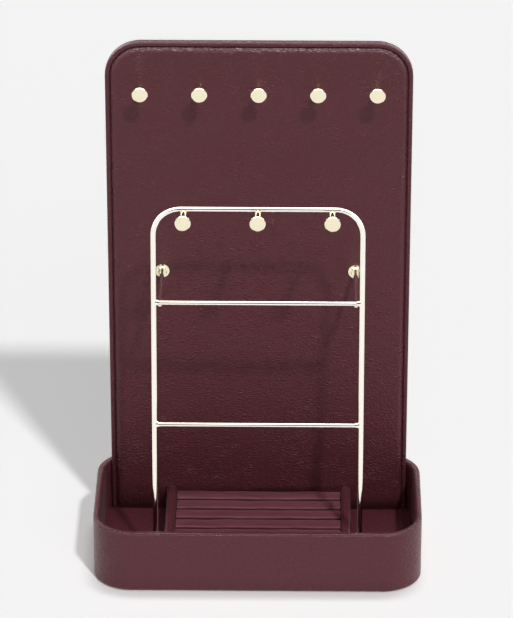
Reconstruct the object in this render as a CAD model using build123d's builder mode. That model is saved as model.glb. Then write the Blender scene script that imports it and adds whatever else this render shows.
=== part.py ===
from build123d import *
import os

# Jewellery stand: a covered tray with two side bins and a lift-out pad of ring rolls, a tall
# covered panel standing at the back of the tray, a row of pegs on the panel, and a welded wire
# frame that stands in the tray, leans back a little and is held off the panel by two rods.
# Millimetres. X runs to the right, Y to the back, Z up. The origin is under the middle of the tray.

# Tray
tray_width = 212.6
tray_depth = 109.6
tray_height = 42.9
tray_corner_radius = 25.5
wall_thickness = 4.6
rim_inner_radius = 2.4
rim_core_chamfer = 1.0
rim_outer_chamfer = 0.4
band_drop = 1.0
band_lip = 0.3
band_lip_chamfer = 0.28
cover_thickness = 0.7
felt_thickness = 1.0
felt_margin = 2.0
floor_board_thickness = 6.9
bottom_edge_chamfer = 0.5

# Compartments
ring_bay_width = 108.6
divider_thickness = 6.6
divider_height = 17.3
divider_top_radius = 2.4

# Back panel
overall_height = 343.9
panel_side_inset = 8.9
panel_thickness = 6.0
panel_corner_radius = 23.0
panel_edge_radius = 1.0
rim_band = 2.25
seam_width = 0.8
recess_depth = 1.9
face_stands_proud = 0.2
face_edge_radius = 1.6
notch_clearance = 0.2

# Rail that joins the panel to the tray
rail_thickness = 4.9
rail_height = 30.0
rail_end_gap = 4.2
rail_top_radius = 1.5

# Pegs
peg_stem_diameter = 4.4
peg_head_diameter = 10.0
peg_head_thickness = 1.4
peg_head_bevel = 0.4
peg_socket_depth = 0.6
panel_peg_length = 14.0
panel_peg_count = 5
panel_peg_pitch = 37.4
panel_peg_drop = 29.9

# Wire frame
wire_diameter = 3.5
crossbar_diameter = 3.2
hoop_lean = 6.0
hoop_setback = 49.9
hoop_height = 250.4
hoop_bend_radius = 17.3
leg_gap = 3.45
upper_crossbar_drop = 63.0
crossbar_spacing = 83.5
weld_rise = 1.1
weld_run = 2.2
leg_web = 2.4
leg_hole_clearance = 0.15
hoop_peg_length = 22.1
hoop_peg_inset = 2.0
hoop_peg_drop = 2.1

# Standoffs between the wire frame and the panel
standoff_rod_diameter = 3.0
standoff_inset = 3.7
standoff_drop = 1.2
flange_diameter = 9.3
flange_thickness = 1.3
boss_diameter = 5.2
boss_length = 3.0
boss_bevel = 0.6
flange_clearance = 0.05

# Ring pad
pad_clearance = 0.3
pad_board_thickness = 2.0
pad_board_corner = 1.5
roll_count = 7
roll_gap = 0.4
roll_height = 13.6
roll_waist = 0.5
roll_end_bevel = 1.2

# Countersunk screws
screw_shank_radius = 1.2
screw_head_radius = 2.3
screw_head_height = 1.3
stem_screw_depth = 7.0
rail_screw_cover = 0.6
rail_screw_pitch = 100.0
rail_screw_count = 2
floor_screw_depth = 10.0
floor_screw_pitch = 116.0
floor_screw_count = 2
leg_screw_depth = 7.0
leg_screw_sink = 0.5

# Levels, from the table up
board_top = felt_thickness + floor_board_thickness
floor_top = board_top + cover_thickness
pad_board_top = floor_top + pad_board_thickness
panel_peg_height = overall_height - panel_peg_drop
band_top = tray_height - band_drop

# Depths, from the back wall forward
wall_back_y = tray_depth / 2 - wall_thickness
wall_front_y = -wall_back_y
panel_back_y = wall_back_y - rail_thickness
panel_front_y = panel_back_y - panel_thickness
recess_floor_y = panel_front_y + recess_depth
core_back_y = panel_back_y - cover_thickness
core_front_y = recess_floor_y + cover_thickness
face_front_y = panel_front_y - face_stands_proud
crossbar_y = panel_front_y - hoop_setback

# Widths, from the middle outward
panel_width = tray_width - 2 * panel_side_inset
divider_x = ring_bay_width / 2 + divider_thickness / 2
leg_x = ring_bay_width / 2 + divider_thickness + leg_gap + wire_diameter / 2
standoff_x = leg_x - standoff_inset
hoop_peg_pitch = leg_x - hoop_bend_radius - hoop_peg_inset
rail_width = tray_width - 2 * (tray_corner_radius + rail_end_gap)

panel_peg_xs = [panel_peg_pitch * (i - (panel_peg_count - 1) / 2) for i in range(panel_peg_count)]
hoop_peg_xs = {"left": -hoop_peg_pitch, "centre": 0.0, "right": hoop_peg_pitch}
sides = {"left": -1, "right": 1}

# The wire frame's own plane leans back; its heights are measured along the legs from the table
lean = Plane.XZ.rotated((-hoop_lean, 0, 0))
upper_crossbar_height = hoop_height - upper_crossbar_drop
lower_crossbar_height = upper_crossbar_height - crossbar_spacing
hoop_foot_y = crossbar_y - upper_crossbar_height * lean.y_dir.Y
hoop_plane = Plane(origin=(0, hoop_foot_y, 0), x_dir=(1, 0, 0), z_dir=lean.z_dir)
standoff_height = upper_crossbar_height * lean.y_dir.Z - standoff_drop
leg_head_height = (felt_thickness + leg_screw_sink) / lean.y_dir.Z
leg_bottom = (felt_thickness + leg_web + wire_diameter / 2 * lean.y_dir.Y) / lean.y_dir.Z

os.makedirs("parts", exist_ok=True)


def panel_outline(inset, y, foot=0.0):
    """Front view of the panel at depth y, drawn in by inset at the sides and top and raised by foot."""
    height = overall_height - floor_top - inset - foot
    with BuildSketch(Plane.XZ.offset(-y)) as outline:
        with Locations((0, floor_top + foot + height / 2)):
            Rectangle(panel_width - 2 * inset, height)
        fillet(outline.vertices().group_by(Axis.Y)[-1], panel_corner_radius - inset)
    return outline.sketch


def countersunk_screw(length):
    """Screw with the flat of its head on the XY plane, pointing down."""
    with BuildPart() as screw:
        with BuildSketch(Plane.XZ):
            with BuildLine():
                Polyline(
                    (0, 0),
                    (screw_head_radius, 0),
                    (screw_shank_radius, -screw_head_height),
                    (screw_shank_radius, -length),
                    (0, -length),
                    close=True,
                )
            make_face()
        revolve(axis=Axis.Z)
    return screw.part


def facing_front(x, y, z):
    """Plane at a point, with its normal towards the front."""
    return Plane(origin=(x, y, z), x_dir=(1, 0, 0), z_dir=(0, -1, 0))


def facing_back(x, y, z):
    """Plane at a point, with its normal towards the back."""
    return Plane(origin=(x, y, z), x_dir=(-1, 0, 0), z_dir=(0, 1, 0))


def along_leg(x, height):
    """Plane across a leg of the wire frame, facing up the leg."""
    return Plane(origin=hoop_plane.from_local_coords((x, height, 0)), x_dir=(1, 0, 0), z_dir=hoop_plane.y_dir)


def along_bar(x, height):
    """Plane across a bar of the wire frame, facing right, with its own X up the frame."""
    return Plane(origin=hoop_plane.from_local_coords((x, height, 0)), x_dir=hoop_plane.y_dir, z_dir=(1, 0, 0))


def off_hoop(x, height, forward):
    """Plane at a distance in front of the wire frame, facing the way its pegs point."""
    return hoop_plane.offset(forward).shift_origin(
        hoop_plane.from_local_coords((x, height, forward))
    )


# Screws that hold each panel peg and each standoff from behind the panel's core
stem_screw_length = core_back_y - face_front_y + stem_screw_depth

with BuildPart() as peg_screws:
    with Locations(*[facing_back(x, core_back_y, panel_peg_height) for x in panel_peg_xs]):
        add(countersunk_screw(stem_screw_length))
peg_screws.part.label = "peg_screws"
export_step(peg_screws.part, "parts/peg_screws.step")

with BuildPart() as standoff_screws:
    with Locations(*[facing_back(s * standoff_x, core_back_y, standoff_height) for s in (-1, 1)]):
        add(countersunk_screw(stem_screw_length))
standoff_screws.part.label = "standoff_screws"
export_step(standoff_screws.part, "parts/standoff_screws.step")

# Screws from the back of the rail into the panel's core, stopping just short of its recess
rail_screw_length = wall_back_y - core_front_y - rail_screw_cover
rail_middle = floor_top + rail_height / 2
rail_screw_xs = [rail_screw_pitch * (i - (rail_screw_count - 1) / 2) for i in range(rail_screw_count)]

with BuildPart() as rail_screws:
    with Locations(*[facing_back(x, wall_back_y, rail_middle) for x in rail_screw_xs]):
        add(countersunk_screw(rail_screw_length))
rail_screws.part.label = "rail_screws"
export_step(rail_screws.part, "parts/rail_screws.step")

# Screws from under the floor board: two into the rail, one into each leg of the wire frame
floor_screw_xs = [floor_screw_pitch * (i - (floor_screw_count - 1) / 2) for i in range(floor_screw_count)]
rail_y = wall_back_y - rail_thickness / 2

with BuildPart() as floor_screws:
    with Locations(*[Plane(origin=(x, rail_y, felt_thickness), z_dir=(0, 0, -1)) for x in floor_screw_xs]):
        add(countersunk_screw(floor_top - felt_thickness + floor_screw_depth))
floor_screws.part.label = "floor_screws"
export_step(floor_screws.part, "parts/floor_screws.step")

with BuildPart() as leg_screws:
    with Locations(*[-along_leg(s * leg_x, leg_head_height) for s in (-1, 1)]):
        add(countersunk_screw(leg_bottom - leg_head_height + leg_screw_depth))
leg_screws.part.label = "leg_screws"
export_step(leg_screws.part, "parts/leg_screws.step")

# Tray: felt underside, floor board, wall core standing on the board, and two covers on the wall
with BuildPart() as base_felt:
    with BuildSketch():
        RectangleRounded(
            tray_width - 2 * felt_margin,
            tray_depth - 2 * felt_margin,
            tray_corner_radius - felt_margin,
        )
    extrude(amount=felt_thickness)
base_felt.part.label = "base_felt"
export_step(base_felt.part, "parts/base_felt.step")

leg_hole_radius = wire_diameter / 2 + leg_hole_clearance

with BuildPart() as leg_holes:
    for s in (-1, 1):
        with BuildSketch(along_leg(s * leg_x, leg_bottom)):
            Circle(leg_hole_radius)
        extrude(amount=2 * floor_top)
        with BuildSketch(along_leg(s * leg_x, 0)):
            Circle(screw_head_radius)
        extrude(amount=leg_head_height)

with BuildPart() as floor_board:
    with BuildSketch(Plane.XY.offset(felt_thickness)):
        RectangleRounded(
            tray_width - 2 * cover_thickness,
            tray_depth - 2 * cover_thickness,
            tray_corner_radius - cover_thickness,
        )
    extrude(amount=floor_board_thickness)
    add(leg_holes.part, mode=Mode.SUBTRACT)
    add(floor_screws.part, mode=Mode.SUBTRACT)
    add(leg_screws.part, mode=Mode.SUBTRACT)
floor_board.part.label = "floor_board"
export_step(floor_board.part, "parts/floor_board.step")

# The panel's full width stands in a notch cut into the two rear corners of the wall
notch_width = panel_width + 2 * notch_clearance
notch_front_y = panel_front_y - wall_thickness
notch_depth = panel_back_y + notch_clearance - notch_front_y

with BuildPart() as panel_notch:
    with BuildSketch(Plane.XY.offset(floor_top)):
        with Locations((0, notch_front_y + notch_depth / 2)):
            Rectangle(notch_width, notch_depth)
    extrude(amount=tray_height)

with BuildPart() as wall_core:
    with BuildSketch(Plane.XY.offset(board_top)):
        RectangleRounded(
            tray_width - 2 * cover_thickness,
            tray_depth - 2 * cover_thickness,
            tray_corner_radius - cover_thickness,
        )
        RectangleRounded(
            tray_width - 2 * (wall_thickness - cover_thickness),
            tray_depth - 2 * (wall_thickness - cover_thickness),
            tray_corner_radius - wall_thickness + cover_thickness,
            mode=Mode.SUBTRACT,
        )
    extrude(amount=tray_height - cover_thickness - board_top)
    inner_rim = wall_core.faces().sort_by(Axis.Z)[-1].inner_wires()[0].edges()
    chamfer(inner_rim, rim_core_chamfer)
    add(panel_notch.part, mode=Mode.SUBTRACT)
wall_core.part.label = "wall_core"
export_step(wall_core.part, "parts/wall_core.step")

# The outer band runs round the tray, and its turned top edge makes a fine lip below the rim
with BuildPart() as outer_band:
    with BuildSketch(Plane.XY.offset(felt_thickness)):
        RectangleRounded(tray_width, tray_depth, tray_corner_radius)
        RectangleRounded(
            tray_width - 2 * cover_thickness,
            tray_depth - 2 * cover_thickness,
            tray_corner_radius - cover_thickness,
            mode=Mode.SUBTRACT,
        )
    extrude(amount=band_top - felt_thickness)
    chamfer(outer_band.faces().sort_by(Axis.Z)[-1].outer_wire().edges(), band_lip_chamfer)
    chamfer(outer_band.faces().sort_by(Axis.Z)[0].outer_wire().edges(), bottom_edge_chamfer)
outer_band.part.label = "outer_band"
export_step(outer_band.part, "parts/outer_band.step")

with BuildPart() as tray_cover:
    with BuildSketch(Plane.XY.offset(board_top)):
        RectangleRounded(
            tray_width - 2 * band_lip,
            tray_depth - 2 * band_lip,
            tray_corner_radius - band_lip,
        )
        RectangleRounded(
            tray_width - 2 * wall_thickness,
            tray_depth - 2 * wall_thickness,
            tray_corner_radius - wall_thickness,
            mode=Mode.SUBTRACT,
        )
    extrude(amount=tray_height - board_top)
    chamfer(tray_cover.faces().sort_by(Axis.Z)[-1].outer_wire().edges(), rim_outer_chamfer)
    fillet(tray_cover.faces().sort_by(Axis.Z)[-1].inner_wires()[0].edges(), rim_inner_radius)
    add(wall_core.part, mode=Mode.SUBTRACT)
    add(outer_band.part, mode=Mode.SUBTRACT)
    add(panel_notch.part, mode=Mode.SUBTRACT)
tray_cover.part.label = "tray_cover"
export_step(tray_cover.part, "parts/tray_cover.step")

with BuildPart() as floor_lining:
    with BuildSketch(Plane.XY.offset(board_top)):
        RectangleRounded(
            tray_width - 2 * wall_thickness,
            tray_depth - 2 * wall_thickness,
            tray_corner_radius - wall_thickness,
        )
    extrude(amount=cover_thickness)
    add(leg_holes.part, mode=Mode.SUBTRACT)
    add(floor_screws.part, mode=Mode.SUBTRACT)
floor_lining.part.label = "floor_lining"
export_step(floor_lining.part, "parts/floor_lining.step")

# Two low dividers run from the front wall to the panel
divider_length = face_front_y - wall_front_y

for side, sign in sides.items():
    with BuildPart() as divider:
        with BuildSketch(Plane.XZ.offset(-wall_front_y)) as divider_section:
            with Locations((sign * divider_x, floor_top + divider_height / 2)):
                Rectangle(divider_thickness, divider_height)
            fillet(divider_section.vertices().group_by(Axis.Y)[-1], divider_top_radius)
        extrude(amount=-divider_length)
    divider.part.label = f"{side}_divider"
    export_step(divider.part, f"parts/{side}_divider.step")

# Back panel: a core board, a cover drawn over it and pressed into its recess, and a covered face
# board in the recess. The recess is open at the foot, so the face board stands on the tray's floor.
with BuildPart() as panel_core:
    extrude(
        panel_outline(cover_thickness, core_back_y, foot=cover_thickness),
        amount=core_back_y - panel_front_y - cover_thickness,
    )
    extrude(
        panel_outline(rim_band - cover_thickness, core_front_y),
        amount=recess_depth,
        mode=Mode.SUBTRACT,
    )
    add(peg_screws.part, mode=Mode.SUBTRACT)
    add(standoff_screws.part, mode=Mode.SUBTRACT)
    add(rail_screws.part, mode=Mode.SUBTRACT)
panel_core.part.label = "panel_core"
export_step(panel_core.part, "parts/panel_core.step")

with BuildPart() as panel_cover:
    extrude(panel_outline(0, panel_back_y), amount=panel_thickness)
    fillet(panel_cover.faces().sort_by(Axis.Y)[0].edges(), panel_edge_radius)
    fillet(panel_cover.faces().sort_by(Axis.Y)[-1].edges(), panel_edge_radius)
    extrude(panel_outline(rim_band, recess_floor_y), amount=recess_depth, mode=Mode.SUBTRACT)
    add(panel_core.part, mode=Mode.SUBTRACT)
    for screws in (peg_screws, standoff_screws, rail_screws):
        add(screws.part, mode=Mode.SUBTRACT)
panel_cover.part.label = "panel_cover"
export_step(panel_cover.part, "parts/panel_cover.step")

face_inset = rim_band + seam_width
face_thickness = recess_floor_y - face_front_y

with BuildPart() as face_board:
    extrude(
        panel_outline(face_inset + cover_thickness, recess_floor_y, foot=cover_thickness),
        amount=face_thickness - cover_thickness,
    )
    add(peg_screws.part, mode=Mode.SUBTRACT)
    add(standoff_screws.part, mode=Mode.SUBTRACT)
face_board.part.label = "face_board"
export_step(face_board.part, "parts/face_board.step")

with BuildPart() as face_cover:
    extrude(panel_outline(face_inset, recess_floor_y), amount=face_thickness)
    fillet(face_cover.faces().sort_by(Axis.Y)[0].edges().sort_by(Axis.Z)[1:], face_edge_radius)
    add(face_board.part, mode=Mode.SUBTRACT)
    add(peg_screws.part, mode=Mode.SUBTRACT)
    add(standoff_screws.part, mode=Mode.SUBTRACT)
face_cover.part.label = "face_cover"
export_step(face_cover.part, "parts/face_cover.step")

with BuildPart() as back_rail:
    with Locations((0, rail_y, rail_middle)):
        Box(rail_width, rail_thickness, rail_height)
    fillet(back_rail.faces().sort_by(Axis.Z)[-1].edges(), rail_top_radius)
    add(rail_screws.part, mode=Mode.SUBTRACT)
    add(floor_screws.part, mode=Mode.SUBTRACT)
back_rail.part.label = "back_rail"
export_step(back_rail.part, "parts/back_rail.step")

# Pegs on the panel: a turned stem with a disc head pressed onto its end
stem_radius = peg_stem_diameter / 2
head_radius = peg_head_diameter / 2
panel_head_back_y = face_front_y - panel_peg_length + peg_head_thickness

for number, x in enumerate(panel_peg_xs, start=1):
    with BuildPart() as stem:
        with BuildSketch(facing_front(x, face_front_y, panel_peg_height)):
            Circle(stem_radius)
        extrude(amount=face_front_y - panel_head_back_y + peg_socket_depth)
        add(peg_screws.part, mode=Mode.SUBTRACT)
    stem.part.label = f"panel_peg_stem_{number}"
    export_step(stem.part, f"parts/panel_peg_stem_{number}.step")

    with BuildPart() as head:
        with BuildSketch(facing_front(x, panel_head_back_y, panel_peg_height)):
            Circle(head_radius)
        extrude(amount=peg_head_thickness)
        chamfer(head.faces().sort_by(Axis.Y)[0].edges(), peg_head_bevel)
        add(stem.part, mode=Mode.SUBTRACT)
    head.part.label = f"panel_peg_head_{number}"
    export_step(head.part, f"parts/panel_peg_head_{number}.step")

# Wire frame: one bent hoop whose legs stand in the floor board, and two crossbars welded to it
wire_radius = wire_diameter / 2

with BuildPart() as wire_hoop:
    with BuildLine(hoop_plane) as hoop_path:
        FilletPolyline(
            (-leg_x, leg_bottom),
            (-leg_x, hoop_height),
            (leg_x, hoop_height),
            (leg_x, leg_bottom),
            radius=hoop_bend_radius,
        )
    with BuildSketch(along_leg(-leg_x, leg_bottom)):
        Circle(wire_radius)
    sweep(path=hoop_path.line)
    add(leg_screws.part, mode=Mode.SUBTRACT)
wire_hoop.part.label = "wire_hoop"
export_step(wire_hoop.part, "parts/wire_hoop.step")

crossbar_radius = crossbar_diameter / 2
crossbars = {}

for name, height in (("upper_crossbar", upper_crossbar_height), ("lower_crossbar", lower_crossbar_height)):
    with BuildPart() as crossbar:
        with BuildSketch(along_bar(-leg_x, height)):
            Circle(crossbar_radius)
        extrude(amount=2 * leg_x)
        for sign in (-1, 1):
            with BuildSketch(along_bar(sign * (leg_x - wire_radius - weld_run), height)):
                Circle(crossbar_radius)
            with BuildSketch(along_bar(sign * leg_x, height)):
                Ellipse(crossbar_radius + weld_rise, crossbar_radius)
            loft()
        add(wire_hoop.part, mode=Mode.SUBTRACT)
    crossbars[name] = crossbar.part
    crossbar.part.label = name
    export_step(crossbar.part, f"parts/{name}.step")

# Pegs on the hoop's top bar, each welded up under the bar, which is let into the top of its stem
hoop_peg_height = hoop_height - hoop_peg_drop
hoop_head_back = hoop_peg_length - peg_head_thickness

for name, x in hoop_peg_xs.items():
    with BuildPart() as stem:
        with BuildSketch(off_hoop(x, hoop_peg_height, 0)):
            Circle(stem_radius)
        extrude(amount=hoop_head_back + peg_socket_depth)
        add(wire_hoop.part, mode=Mode.SUBTRACT)
    stem.part.label = f"hoop_peg_stem_{name}"
    export_step(stem.part, f"parts/hoop_peg_stem_{name}.step")

    with BuildPart() as head:
        with BuildSketch(off_hoop(x, hoop_peg_height, hoop_head_back)):
            Circle(head_radius)
        extrude(amount=peg_head_thickness)
        chamfer(head.faces().sort_by(Axis.Y)[0].edges(), peg_head_bevel)
        add(stem.part, mode=Mode.SUBTRACT)
    head.part.label = f"hoop_peg_head_{name}"
    export_step(head.part, f"parts/hoop_peg_head_{name}.step")

# Standoffs: a rod from the panel to the upper crossbar, through a flange on the panel's face
for side, sign in sides.items():
    with BuildPart() as rod:
        with BuildSketch(facing_front(sign * standoff_x, face_front_y, standoff_height)):
            Circle(standoff_rod_diameter / 2)
        extrude(amount=face_front_y - crossbar_y)
        add(crossbars["upper_crossbar"], mode=Mode.SUBTRACT)
        add(standoff_screws.part, mode=Mode.SUBTRACT)
    rod.part.label = f"{side}_standoff_rod"
    export_step(rod.part, f"parts/{side}_standoff_rod.step")

    with BuildPart() as flange:
        with BuildSketch(facing_front(sign * standoff_x, face_front_y, standoff_height)):
            Circle(flange_diameter / 2)
        extrude(amount=flange_thickness)
        with BuildSketch(facing_front(sign * standoff_x, face_front_y - flange_thickness, standoff_height)):
            Circle(boss_diameter / 2)
        extrude(amount=boss_length - flange_thickness)
        boss_foot = flange.edges().filter_by(GeomType.CIRCLE).sort_by(Axis.Y)[1:-1].sort_by(SortBy.RADIUS)[0]
        chamfer(boss_foot, boss_bevel)
        with BuildSketch(facing_front(sign * standoff_x, face_front_y, standoff_height)):
            Circle(standoff_rod_diameter / 2 + flange_clearance)
        extrude(amount=boss_length, mode=Mode.SUBTRACT)
    flange.part.label = f"{side}_flange"
    export_step(flange.part, f"parts/{side}_flange.step")

# Ring pad: a thin board with soft rolls side by side; rings stand in the grooves between them
pad_front_y = wall_front_y + pad_clearance
pad_depth = face_front_y - pad_clearance - pad_front_y
pad_width = ring_bay_width - 2 * pad_clearance
roll_pitch = pad_depth / roll_count
roll_radius = (roll_pitch - roll_gap) / 2

with BuildPart() as pad_board:
    with BuildSketch(Plane.XY.offset(floor_top)):
        with Locations((0, pad_front_y + pad_depth / 2)):
            RectangleRounded(pad_width, pad_depth, pad_board_corner)
    extrude(amount=pad_board_thickness)
pad_board.part.label = "pad_board"
export_step(pad_board.part, "parts/pad_board.step")

for i in range(roll_count):
    roll_y = pad_front_y + roll_pitch * (i + 0.5)
    shoulder = pad_board_top + roll_height - roll_radius
    with BuildPart() as roll:
        with BuildSketch(Plane.YZ.offset(-pad_width / 2)):
            with BuildLine():
                foot = roll_radius - roll_waist
                Line((roll_y - foot, pad_board_top), (roll_y + foot, pad_board_top))
                Line((roll_y + foot, pad_board_top), (roll_y + roll_radius, shoulder))
                ThreePointArc(
                    (roll_y + roll_radius, shoulder),
                    (roll_y, pad_board_top + roll_height),
                    (roll_y - roll_radius, shoulder),
                )
                Line((roll_y - roll_radius, shoulder), (roll_y - foot, pad_board_top))
            make_face()
        extrude(amount=pad_width)
        for end in (0, -1):
            rim = roll.faces().sort_by(Axis.X)[end].edges().filter_by(GeomType.CIRCLE)
            chamfer(rim, roll_end_bevel)
    roll.part.label = f"ring_roll_{i + 1}"
    export_step(roll.part, f"parts/ring_roll_{i + 1}.step")
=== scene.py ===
from math import cos, radians, sin

import bpy
import numpy as np
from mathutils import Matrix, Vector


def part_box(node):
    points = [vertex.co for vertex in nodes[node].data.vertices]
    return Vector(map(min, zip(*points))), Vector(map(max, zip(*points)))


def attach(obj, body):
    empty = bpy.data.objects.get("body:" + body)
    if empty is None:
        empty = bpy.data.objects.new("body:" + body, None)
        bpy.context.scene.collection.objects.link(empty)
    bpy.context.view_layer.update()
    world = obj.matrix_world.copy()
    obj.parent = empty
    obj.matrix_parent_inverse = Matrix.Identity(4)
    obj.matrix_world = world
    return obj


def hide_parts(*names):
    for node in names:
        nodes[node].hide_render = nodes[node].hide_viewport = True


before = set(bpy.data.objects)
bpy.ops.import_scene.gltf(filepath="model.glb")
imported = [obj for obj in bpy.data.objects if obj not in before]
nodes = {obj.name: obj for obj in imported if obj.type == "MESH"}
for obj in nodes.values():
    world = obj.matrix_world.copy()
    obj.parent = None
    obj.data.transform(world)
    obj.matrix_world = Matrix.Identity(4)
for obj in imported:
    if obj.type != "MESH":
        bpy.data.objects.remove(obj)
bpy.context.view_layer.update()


# Felt base: a thin black felt sheet glued under the floor board, a little smaller than the tray.
# Its fibres are a fine cloudy noise, with bumps of a few hundredths of a millimetre.
MM = 0.001
felt_black = (0.012, 0.011, 0.011, 1)
felt_worn = (0.030, 0.028, 0.027, 1)
felt_fibre = 0.35 * MM
felt_depth = 0.06 * MM


def new_finish(name, **constants):
    """A material whose only shader is a Principled one, with the given constant sockets."""
    finish = bpy.data.materials.new(name)
    finish.use_nodes = True
    shader = finish.node_tree.nodes["Principled BSDF"]
    for socket, value in constants.items():
        shader.inputs[socket.replace("_", " ")].default_value = value
    return finish, finish.node_tree, shader


def add_node(tree, kind, inputs=None, **settings):
    """One shader node with its settings; an input is a constant or another node's output."""
    node = tree.nodes.new("ShaderNode" + kind)
    for key, value in settings.items():
        setattr(node, key, value)
    for key, value in (inputs or {}).items():
        if isinstance(value, bpy.types.NodeSocket):
            tree.links.new(value, node.inputs[key])
        else:
            node.inputs[key].default_value = value
    return node


def object_point(tree):
    """The point on the piece in metres, so that a pattern has its real size."""
    return add_node(tree, "TexCoord").outputs["Object"]


def noise(tree, size, detail=3.0, at=None):
    """Cloudy value around 0.5 whose blobs are about `size` metres across."""
    point = at or object_point(tree)
    inputs = {"Vector": point, "Scale": 1 / size, "Detail": detail, "Roughness": 0.55}
    return add_node(tree, "TexNoise", inputs).outputs["Fac"]


def between(tree, amount, low, high):
    """Colour that runs from low to high with the amount."""
    mix = add_node(tree, "Mix", {"Factor": amount}, data_type="RGBA")
    for socket, colour in ((mix.inputs["A"], low), (mix.inputs["B"], high)):
        if isinstance(colour, bpy.types.NodeSocket):
            tree.links.new(colour, socket)
        else:
            socket.default_value = colour
    return mix.outputs["Result"]


def raise_surface(tree, shader, height, depth):
    """Bumps the shader's normal by the height, with a full swing of `depth` metres."""
    bump = add_node(tree, "Bump", {"Height": height, "Strength": 1.0, "Distance": depth})
    tree.links.new(bump.outputs["Normal"], shader.inputs["Normal"])


def dress(finish, *names):
    """Puts a finish on CAD nodes that keep their own shape."""
    for name in names:
        for slot in nodes[name].material_slots:
            slot.material = finish


felt, tree, shader = new_finish("felt_base_sheet", Roughness=0.95, Sheen_Weight=0.3)
tangle = noise(tree, felt_fibre)
tree.links.new(between(tree, tangle, felt_black, felt_worn), shader.inputs["Base Color"])
raise_surface(tree, shader, tangle, felt_depth)
dress(felt, "base_felt")


# Boards: medium-density fibreboard for the floor, the wall core, the panel and the pad.
# Pale brown with darker fibres; the covering hides nearly all of it.
board_pale = (0.38, 0.25, 0.14, 1)
board_dark = (0.25, 0.15, 0.08, 1)
board_fibre = 0.8 * MM
board_fibre_span = (0.35, 0.65)
board_fibre_depth = 0.05 * MM


def spread(tree, value, span, onto=(0.0, 1.0)):
    """Maps the span's two ends onto two other numbers, straight between and clamped beyond."""
    inputs = {"Value": value, "From Min": span[0], "From Max": span[1]}
    inputs.update({"To Min": onto[0], "To Max": onto[1]})
    return add_node(tree, "MapRange", inputs).outputs["Result"]


board, tree, shader = new_finish("fibreboard", Roughness=0.85)
fibres = noise(tree, board_fibre, detail=5.0)
fibre_share = spread(tree, fibres, board_fibre_span)
tree.links.new(between(tree, fibre_share, board_dark, board_pale), shader.inputs["Base Color"])
raise_surface(tree, shader, fibres, board_fibre_depth)
dress(board, "floor_board", "wall_core", "panel_core", "pad_board")


# Screws: small countersunk steel screws, zinc plated, hidden behind the boards and the felt.
# The plating is mottled, duller in some places than in others.
zinc_light = (0.62, 0.63, 0.65, 1)
zinc_dark = (0.42, 0.43, 0.45, 1)
zinc_mottle = 0.3 * MM
zinc_roughness = (0.25, 0.45)
noise_span = (0.3, 0.7)

zinc, tree, shader = new_finish("zinc_screw", Metallic=1.0)
mottle = noise(tree, zinc_mottle)
tree.links.new(between(tree, mottle, zinc_dark, zinc_light), shader.inputs["Base Color"])
tree.links.new(spread(tree, mottle, noise_span, zinc_roughness), shader.inputs["Roughness"])
dress(zinc, "rail_screws", "floor_screws", "leg_screws", "peg_screws", "standoff_screws")


# Coverings: thin burgundy polyurethane leather, embossed with a fine pebble grain, glued over the
# tray, the dividers, the bins' floor, the rail, the panel and its face. Worn smooth in places.
# The crease colour is darker as painted shade in the grain's low creases.
crease_colour = (0.086, 0.0187, 0.0260, 1)
pebble_colour = (0.116, 0.0257, 0.0348, 1)
pebble_size = 1.7 * MM
pebble_scale = (0.55, 0.55, 1.0)
pebble_randomness = 0.9
pebble_span = (0.0, 0.42)
sway_size = 2.5 * pebble_size
sway_reach = 0.8 * pebble_size
patch_size = 14 * MM
patch_fullness = (0.50, 1.0)
pore_size = 0.35 * MM
pore_share = 0.15
crease_to_pebble_roughness = (0.44, 0.27)
leather_shine = 0.30
taut_shine = 1.0
tray_grain_depth = 0.28 * MM
bin_grain_depth = 0.18 * MM
panel_grain_depth = 0.50 * MM
whole_span = (0.0, 1.0)


def reckon(tree, operation, *values):
    """The result of one Math node on its values, each a constant or an output."""
    return add_node(tree, "Math", dict(enumerate(values)), operation=operation).outputs[0]


def leatherette(name, grain_depth, taut=False):
    """Pebbles are Voronoi cells pushed about by noise and stretched sideways; creases are lower and
    rougher, and darker as painted shade. Height is pebble times patch, plus a share of fine pores.
    Taut leatherette shines more where the piece's attribute `stretch` nears 1."""
    finish, tree, shader = new_finish(
        name,
        Specular_IOR_Level=leather_shine,
        Sheen_Weight=0.03,
        Sheen_Roughness=0.4,
    )
    scaled = {"Vector": object_point(tree), "Scale": pebble_scale}
    point = add_node(tree, "Mapping", scaled).outputs["Vector"]
    sway = add_node(tree, "TexNoise", {"Vector": point, "Scale": 1 / sway_size, "Detail": 2.0})
    shift = add_node(
        tree,
        "VectorMath",
        {0: sway.outputs["Color"], "Scale": sway_reach},
        operation="SCALE",
    )
    pushed = add_node(tree, "VectorMath", {0: point, 1: shift.outputs["Vector"]}, operation="ADD")
    cells = add_node(
        tree,
        "TexVoronoi",
        {
            "Vector": pushed.outputs["Vector"],
            "Scale": 1 / pebble_size,
            "Randomness": pebble_randomness,
        },
        feature="DISTANCE_TO_EDGE",
    )
    pebbles = spread(tree, cells.outputs["Distance"], pebble_span)
    patches = spread(tree, noise(tree, patch_size, detail=2.0), noise_span, patch_fullness)
    pores = noise(tree, pore_size, detail=2.0)
    fullness = reckon(tree, "MULTIPLY", pebbles, patches)
    # Painted shade: the colour darkens towards the creases.
    colour = between(tree, fullness, crease_colour, pebble_colour)
    tree.links.new(colour, shader.inputs["Base Color"])
    roughness = spread(tree, pebbles, whole_span, crease_to_pebble_roughness)
    tree.links.new(roughness, shader.inputs["Roughness"])
    height = reckon(tree, "MULTIPLY_ADD", pores, pore_share, fullness)
    raise_surface(tree, shader, height, grain_depth)
    if taut:
        stretch = add_node(tree, "Attribute", attribute_name="stretch").outputs["Fac"]
        shine = spread(tree, stretch, whole_span, (leather_shine, taut_shine))
        tree.links.new(shine, shader.inputs["Specular IOR Level"])
    return finish


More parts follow.
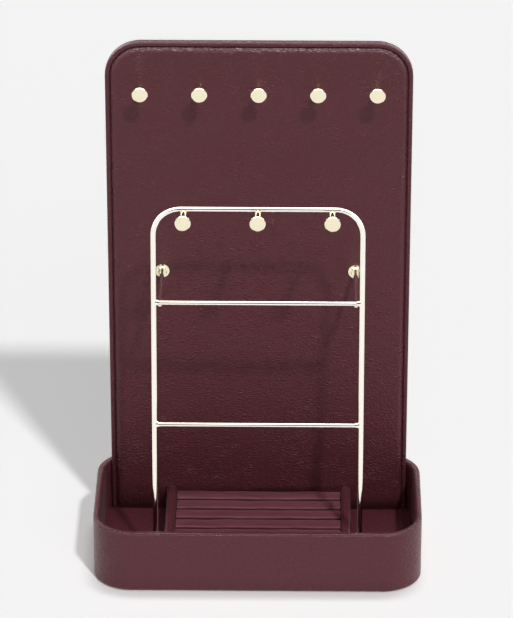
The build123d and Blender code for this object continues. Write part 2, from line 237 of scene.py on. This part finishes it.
tray_leather = leatherette("tray_leatherette", tray_grain_depth)
dress(tray_leather, "tray_cover", "outer_band")

bin_leather = leatherette("bin_leatherette", bin_grain_depth)
dress(bin_leather, "floor_lining", "left_divider", "right_divider", "back_rail")

panel_leather = leatherette("panel_leatherette", panel_grain_depth)
dress(panel_leather, "panel_cover")


# Padded face: the board in the panel's recess, wrapped in leatherette over a thin foam, so that
# its edge rolls over softly into the seam. Round corners above, square where it meets the floor.
# The covering is drawn tightest over the top edge, and shines most there.
face_corner = 19.95 * MM
face_roll = 3.8 * MM
face_turn = 50.0
roll_over_steps = 10
corner_steps = 24
side_steps = 30
side_stretch = 0.2


def surface(name, grid):
    """Closed mesh of quads over a grid of points (rows, columns, 3), smooth shaded: each row is a
    ring that joins its own start, and the first and the last row are capped."""
    rows, columns = grid.shape[:2]
    index = np.arange(rows * columns).reshape(rows, columns)
    index = np.concatenate([index, index[:, :1]], axis=1)
    corners = [index[:-1, :-1], index[:-1, 1:], index[1:, 1:], index[1:, :-1]]
    faces = np.stack(corners, axis=-1).reshape(-1, 4).tolist()
    faces.append(list(range(columns - 1, -1, -1)))
    faces.append(list(range((rows - 1) * columns, rows * columns)))
    mesh = bpy.data.meshes.new(name)
    mesh.from_pydata(grid.reshape(-1, 3), [], faces)
    mesh.shade_smooth()
    piece = bpy.data.objects.new(name, mesh)
    bpy.context.scene.collection.objects.link(piece)
    return piece


def give_share(piece, name, values):
    """Stores one number for each point of the piece, for its material to read."""
    share = piece.data.attributes.new(name, "FLOAT", "POINT")
    share.data.foreach_set("value", values.ravel())


def face_outline(low, high, inset):
    """Points (x, z) counterclockwise seen from the front: right side, corner, top, corner, left
    side, each corner a quarter circle. Sides, top and the corners' radii come in by the inset."""
    left, right, top = low[0] + inset, high[0] - inset, high[2] - inset
    radius = face_corner - inset
    quarter = np.linspace(0, np.pi / 2, corner_steps)
    inward, upward = radius * (1 - np.cos(quarter)), radius * (np.sin(quarter) - 1)
    side = np.linspace(low[2], top - radius, side_steps)[:-1]
    across = [np.full(len(side), right), right - inward, (left + inward)[::-1]]
    across.append(np.full(len(side), left))
    up = [side, top + upward, (top + upward)[::-1], side[::-1]]
    return np.column_stack([np.concatenate(across), np.concatenate(up)])


def padded_grid(low, high):
    """Rings of the face from back to front: the back edge, then an arc of radius r that turns from
    `face_turn` to flat, inset = roll - r sin(turn) and depth = front + r (1 - cos(turn)). Also
    gives each point's stretch: the share of the turn, times a factor that grows from
    `side_stretch` at the sides to 1 along the top."""
    turn = np.linspace(radians(face_turn), 0, roll_over_steps)
    radius = face_roll / sin(radians(face_turn))
    insets = np.concatenate([[0], face_roll - radius * np.sin(turn)])
    depths = np.concatenate([[high[1]], low[1] + radius * (1 - np.cos(turn))])
    outlines = np.array([face_outline(low, high, inset) for inset in insets])
    grid = np.insert(outlines, 1, 0.0, axis=2)
    grid[..., 1] = depths[:, None]
    facing_up = (outlines[0] - outlines[-1])[:, 1] / face_roll
    turned = np.concatenate([[1], turn / radians(face_turn)])
    return grid, np.outer(turned, side_stretch + (1 - side_stretch) * facing_up)


low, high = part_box("face_cover")
grid, stretch = padded_grid(low, high)
padded_face = surface("padded_face", grid)
give_share(padded_face, "stretch", stretch)
padded_face.data.materials.append(leatherette("face_leatherette", panel_grain_depth, taut=True))
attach(padded_face, "stand")
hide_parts("face_cover", "face_board")


# Wire frame, pegs and standoffs: steel wire and turned pegs, welded, polished and plated in a
# pale champagne gold. Close to a mirror, with faint polishing marks that soften the highlights.
peg_gold = (0.930, 0.860, 0.655, 1)
peg_gold_deep = (0.900, 0.815, 0.590, 1)
wire_gold = (0.990, 0.955, 0.870, 1)
wire_gold_deep = (0.975, 0.930, 0.820, 1)
polish_size = 2.5 * MM
polish_roughness = (0.06, 0.10)
mark_size = 0.6 * MM
mark_depth = 0.0015 * MM


def gold_plate(name, deep, pale):
    """Polished plating whose colour and gloss drift a little, with marks a micrometre or two deep."""
    finish, tree, shader = new_finish(name, Metallic=1.0)
    polish = noise(tree, polish_size, detail=4.0)
    colour = between(tree, spread(tree, polish, noise_span), deep, pale)
    tree.links.new(colour, shader.inputs["Base Color"])
    roughness = spread(tree, polish, noise_span, polish_roughness)
    tree.links.new(roughness, shader.inputs["Roughness"])
    raise_surface(tree, shader, noise(tree, mark_size), mark_depth)
    return finish


turned_gold = gold_plate("turned_peg_plate", peg_gold_deep, peg_gold)
dress(turned_gold, *[name for name in nodes if name.startswith(("panel_peg", "hoop_peg"))])
dress(turned_gold, "left_flange", "right_flange")

drawn_gold = gold_plate("drawn_wire_plate", wire_gold_deep, wire_gold)
dress(drawn_gold, "wire_hoop", "upper_crossbar", "lower_crossbar")
dress(drawn_gold, "left_standoff_rod", "right_standoff_rod")


# Ring pad: seven foam rolls wrapped in one burgundy velvet and glued side by side on a board.
# Each roll is full, slightly uneven and tucked in at its ends, with an open groove to the next.
velvet_deep = (0.100, 0.025, 0.035, 1)
velvet_lit = (0.175, 0.052, 0.066, 1)
# A lighter colour paints a highlight along each roll's front shoulder, and a darker one paints shade
# on the flanks down into the grooves.
velvet_painted_highlight = (0.270, 0.095, 0.112, 1)
velvet_shaded = (0.068, 0.017, 0.024, 1)
velvet_sheen = (0.75, 0.38, 0.45, 1)
nap_depth = 0.08 * MM
nap_span = (0.30, 0.95)
brush_size = 4.0 * MM
brush_scale = (0.12, 1.0, 1.0)
pile_size = 0.3 * MM
pile_share = 0.25
roll_count = 7
roll_steps = 200
end_steps = 6
section_steps = 56
foot_squareness = 5.0
crown_squareness = 2.5
crown_height = 3.4 * MM
end_tuck = 0.5 * MM
least_tuck = 0.02
end_height = 0.3
side_reach = 0.2 * MM
groove_half = 0.9 * MM
flare_height = 0.5
swell_share = 0.07
swell_lengths = (0.061, 0.034, 0.019)
drift_reach = 0.40 * MM
drift_lengths = (0.083, 0.041, 0.023)
drift_seed = 50
ridge_place = 0.93
ridge_width = 0.13
ridge_level = 0.85
ridge_swing = 0.35
ridge_lengths = (0.047, 0.023, 0.012)
ridge_seed = 90
flank_height = 0.45


def wave(x, seed, amplitude, lengths):
    """Uneven line: sines of the given wavelengths with fixed phases, adding to the amplitude."""
    phases = np.random.default_rng(seed).uniform(0, 2 * np.pi, len(lengths))
    sines = [np.sin(2 * np.pi * x / length + phase) for length, phase in zip(lengths, phases)]
    return amplitude * sum(sines) / len(lengths)


def velvet_roll(name, low, high, seed):
    """Closed roll along X. Its section is a flattened crown above and a squarer foot below, both
    superellipses y = r c^a, z = h s^b of the angle; it shrinks as a quarter ellipse at each end,
    swells and drifts by waves, and flares to its full width in the foot. Its attribute `ridge`
    carries painted light: a bell curve of the place across, near 1 where the crown turns down in
    front, painted there as a highlight, and -1 on the flanks below the crown, painted as shade."""
    left, right = low[0] - side_reach, high[0] + side_reach
    ends = end_tuck * (1 - np.cos(np.linspace(0, np.pi / 2, end_steps)))
    body = np.linspace(left + end_tuck, right - end_tuck, roll_steps)[1:-1]
    x = np.concatenate([left + ends, body, right - ends[::-1]])
    run_in = np.clip(np.minimum(x - left, right - x) / end_tuck, 0, 1)
    tuck = np.maximum(np.sqrt(1 - (1 - run_in) ** 2), least_tuck)
    full = tuck * (1 - swell_share * (1 + wave(x, seed, 1.0, swell_lengths)) / 2)
    drift = wave(x, seed + drift_seed, drift_reach, drift_lengths)

    angle = np.linspace(0, 2 * np.pi, section_steps, endpoint=False)
    cosine, sine = np.cos(angle), np.sin(angle)
    above = sine >= 0
    power = np.where(above, 2 / crown_squareness, 2 / foot_squareness)
    across = np.sign(cosine) * np.abs(cosine) ** power
    up = np.sign(sine) * np.abs(sine) ** power
    flare = np.clip(-up / flare_height, 0, 1)
    half_width = (high[1] - low[1]) / 2 - groove_half * (1 - flare)
    shoulder = high[2] - crown_height
    rise = np.where(above, crown_height, shoulder - low[2])
    foot_share = end_height + (1 - end_height) * tuck

    grid = np.empty((len(x), section_steps, 3))
    grid[..., 0] = x[:, None]
    grid[..., 1] = (low[1] + high[1]) / 2
    grid[..., 1] += np.outer(drift, 1 - flare) + np.outer(full, half_width * across)
    grid[..., 2] = shoulder + rise * up * np.where(above, full[:, None], foot_share[:, None])
    roll = surface(name, grid)

    # Strength of the painted highlight along the roll, wavering a little.
    highlight_strength = ridge_level + wave(x, seed + ridge_seed, ridge_swing, ridge_lengths)
    ridge = np.outer(highlight_strength, np.exp(-(((across + ridge_place) / ridge_width) ** 2)))
    ridge[:, up <= flank_height] = -1
    give_share(roll, "ridge", ridge)
    return roll


velvet, tree, shader = new_finish(
    "burgundy_velvet",
    Roughness=0.85,
    Sheen_Weight=0.35,
    Sheen_Roughness=0.5,
    Sheen_Tint=velvet_sheen,
    Specular_IOR_Level=0.2,
)
scaled = {"Vector": object_point(tree), "Scale": brush_scale}
streaks = add_node(tree, "Mapping", scaled).outputs["Vector"]
brushed = noise(tree, brush_size, at=streaks)
pile = noise(tree, pile_size, detail=2.0)
nap = reckon(tree, "MULTIPLY_ADD", pile, pile_share, brushed)
plain_pile = between(tree, spread(tree, nap, nap_span), velvet_deep, velvet_lit)
ridge = add_node(tree, "Attribute", attribute_name="ridge").outputs["Fac"]
# Painted highlight where ridge nears 1, painted shade on the flanks where it is -1.
highlit_pile = between(tree, spread(tree, ridge, whole_span), plain_pile, velvet_painted_highlight)
shaded_pile = between(tree, spread(tree, ridge, (0.0, -1.0)), highlit_pile, velvet_shaded)
tree.links.new(shaded_pile, shader.inputs["Base Color"])
raise_surface(tree, shader, nap, nap_depth)

for number in range(1, roll_count + 1):
    low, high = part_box(f"ring_roll_{number}")
    roll = velvet_roll(f"velvet_roll_{number}", low, high, seed=number)
    roll.data.materials.append(velvet)
    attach(roll, "ring_pad")
    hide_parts(f"ring_roll_{number}")


# Table: a wide sheet of white paper that the stand rests on. To the camera and in mirrors it
# glows a little, and ambient occlusion dims the glow in front and on the left of the stand. A
# flat lamp on it, facing up, stands for the light that the table gives back.
paper_white = (0.94, 0.94, 0.94, 1)
paper_half = 6.0
paper_glow = 0.40
mirrored_gain = 1.2
contact_reach = 14 * MM
contact_lean = (0.27, 0.92, 0.27)
contact_span = (0.40, 0.86)
contact_samples = 8
table_light_size = 4.0
table_light_height = 0.2 * MM
table_light_power = 21.5

paper_mesh = bpy.data.meshes.new("studio_floor")
corners = [(-paper_half, -paper_half, 0), (paper_half, -paper_half, 0)]
corners += [(paper_half, paper_half, 0), (-paper_half, paper_half, 0)]
paper_mesh.from_pydata(corners, [], [(0, 1, 2, 3)])
floor = bpy.data.objects.new("studio_floor", paper_mesh)
bpy.context.scene.collection.objects.link(floor)

paper, tree, shader = new_finish("studio_paper", Roughness=1.0, Specular_IOR_Level=0.0)
shader.inputs["Base Color"].default_value = paper_white
shader.inputs["Emission Color"].default_value = (1, 1, 1, 1)
rays = add_node(tree, "LightPath").outputs
in_mirrors = reckon(tree, "MULTIPLY", rays["Is Glossy Ray"], mirrored_gain)
in_view = reckon(tree, "MAXIMUM", rays["Is Camera Ray"], in_mirrors)
lean = add_node(tree, "CombineXYZ", dict(zip("XYZ", contact_lean))).outputs["Vector"]
nearby = {"Distance": contact_reach, "Normal": lean}
# The dimmed glow is a painted contact shadow in front and on the left of the stand.
clear = add_node(tree, "AmbientOcclusion", nearby, samples=contact_samples).outputs["AO"]
clear_glow = spread(tree, clear, contact_span, (0.0, paper_glow))
glow = reckon(tree, "MULTIPLY", in_view, clear_glow)
tree.links.new(glow, shader.inputs["Emission Strength"])
paper_mesh.materials.append(paper)

table_light = bpy.data.lights.new("table_light", "AREA")
table_light.shape = "SQUARE"
table_light.size = table_light_size
table_light.energy = table_light_power
table_lamp = bpy.data.objects.new("table_light", table_light)
table_lamp.location = (0, 0, table_light_height)
table_lamp.rotation_euler = (radians(180), 0, 0)
table_lamp.visible_camera = False
table_lamp.visible_glossy = False
bpy.context.scene.collection.objects.link(table_lamp)


# Tent: the metal and the leatherette mirror a white tent, brighter overhead, with four soft dark
# openings. To the camera it is plain white, and as light it is a faint even sky.
tent_white = (0.913, 0.913, 0.913, 1)
sky_strength = 0.12
roof_gain = 4.6
roof_elevation = 110.0
roof_span = (-0.1, 0.7)
opening_elevation = 28.0
opening_radius = 24.0
opening_blur = 4.0
openings = ((0, 0.02), (90, 0.25), (180, 0.25), (270, 0.25))

sky = bpy.data.worlds.new("studio_sky")
bpy.context.scene.world = sky
sky.use_nodes = True
tree = sky.node_tree


def towards(tree, elevation, azimuth=0.0):
    """Cosine of the angle between the direction and a point of the tent, which is `elevation`
    above the table and `azimuth` round to the right from the front."""
    direction = add_node(tree, "TexCoord").outputs["Generated"]
    level = cos(radians(elevation))
    aim = (level * sin(radians(azimuth)), -level * cos(radians(azimuth)), sin(radians(elevation)))
    dot = add_node(tree, "VectorMath", {0: direction, 1: aim}, operation="DOT_PRODUCT")
    return dot.outputs["Value"]


def opening(tree, azimuth, light):
    """Share of the tent's white that is left: `light` inside the opening, 1 outside, and blurred
    across its edge."""
    outer = cos(radians(opening_radius + opening_blur))
    inner = cos(radians(opening_radius - opening_blur))
    return spread(tree, towards(tree, opening_elevation, azimuth), (outer, inner), (1.0, light))


tent = spread(tree, towards(tree, roof_elevation), roof_span, (1.0, roof_gain))
for azimuth, light in openings:
    tent = reckon(tree, "MULTIPLY", tent, opening(tree, azimuth, light))
even_sky = add_node(tree, "Background", {"Color": (1, 1, 1, 1), "Strength": sky_strength})
mirrored_tent = add_node(tree, "Background", {"Color": tent_white, "Strength": tent})
backdrop = add_node(tree, "Background", {"Color": tent_white, "Strength": 1.0})
rays = add_node(tree, "LightPath").outputs
unseen = add_node(
    tree,
    "MixShader",
    {"Fac": rays["Is Glossy Ray"], 1: even_sky.outputs[0], 2: mirrored_tent.outputs[0]},
)
whole_sky = add_node(
    tree,
    "MixShader",
    {"Fac": rays["Is Camera Ray"], 1: unseen.outputs[0], 2: backdrop.outputs[0]},
)
tree.links.new(whole_sky.outputs[0], tree.nodes["World Output"].inputs["Surface"])


# Lamps: a sun-like key from the front right, which casts the stand's shadow back to the left,
# and a wide low fill from the front. Only the key shows in the metal and the leatherette.
key_azimuth = 26.0
key_elevation = 52.2
key_strength = 1.50
key_softness = 4.2
fill_azimuth = 18.0
fill_elevation = 14.0
fill_strength = 0.42
fill_softness = 55.0


def sun(name, strength, softness, elevation, azimuth, shows_in_mirrors):
    """A sun lamp in front of the stand, `elevation` above the table, `azimuth` to the right and
    `softness` wide."""
    light = bpy.data.lights.new(name, "SUN")
    light.energy = strength
    light.angle = radians(softness)
    lamp = bpy.data.objects.new(name, light)
    lamp.rotation_euler = (radians(90 - elevation), 0, radians(azimuth))
    lamp.visible_glossy = shows_in_mirrors
    bpy.context.scene.collection.objects.link(lamp)


sun("key_light", key_strength, key_softness, key_elevation, key_azimuth, True)
sun("fill_light", fill_strength, fill_softness, fill_elevation, fill_azimuth, False)


# Camera: a long lens in front of the stand, looking down on it and a little to the left. Its
# distance is measured from the front of the panel.
picture_height_px = 618
focal_length_px = 4000
sensor_height_mm = 36.0
clip_end = 50
camera_pitch = 26.67
camera_yaw = 0.75
camera_distance = 2319.81 * MM
camera_height = 1322.50 * MM
camera_side = 28.84 * MM

panel_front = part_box("panel_cover")[0][1]
lens = bpy.data.cameras.new("photo_camera")
lens.sensor_fit = "VERTICAL"
lens.sensor_height = sensor_height_mm
lens.lens = focal_length_px / picture_height_px * sensor_height_mm
lens.clip_end = clip_end
camera = bpy.data.objects.new("photo_camera", lens)
camera.location = (camera_side, panel_front - camera_distance, camera_height)
camera.rotation_euler = (radians(90 - camera_pitch), 0, radians(camera_yaw))
bpy.context.scene.collection.objects.link(camera)
bpy.context.scene.camera = camera
bpy.context.scene.view_settings.view_transform = "Standard"
